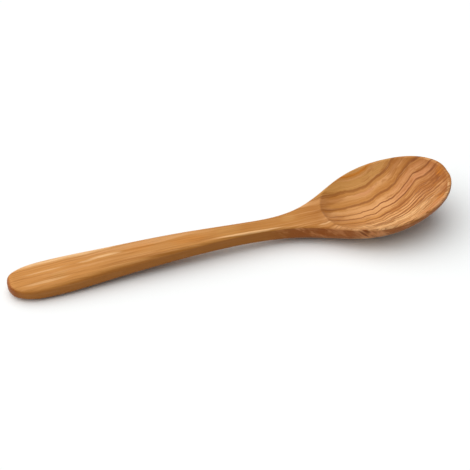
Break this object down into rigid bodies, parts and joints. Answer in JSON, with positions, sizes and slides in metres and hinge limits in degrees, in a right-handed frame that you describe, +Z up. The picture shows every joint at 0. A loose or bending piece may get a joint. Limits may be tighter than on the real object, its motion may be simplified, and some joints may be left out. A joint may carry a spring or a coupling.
{
  "type": "wooden spoon",
  "caption": "Cook's spoon carved from a single piece of olive wood, with a flat-topped handle, a slim neck and an oval bowl whose rim rises to the tip.",
  "frame": {"origin": "middle of the spoon's length and width, on the surface that it lies on", "axes": "+X along the spoon from the end of the handle to the tip of the bowl, +Z up, with the hollow of the bowl facing up"},
  "size_m": [0.3, 0.0684, 0.0317],
  "materials": {
    "olive_wood": "sanded and oiled, with a soft sheen"
  },
  "bodies": {
    "root": {"spoon": "olive_wood"}
  },
  "joints": []
}
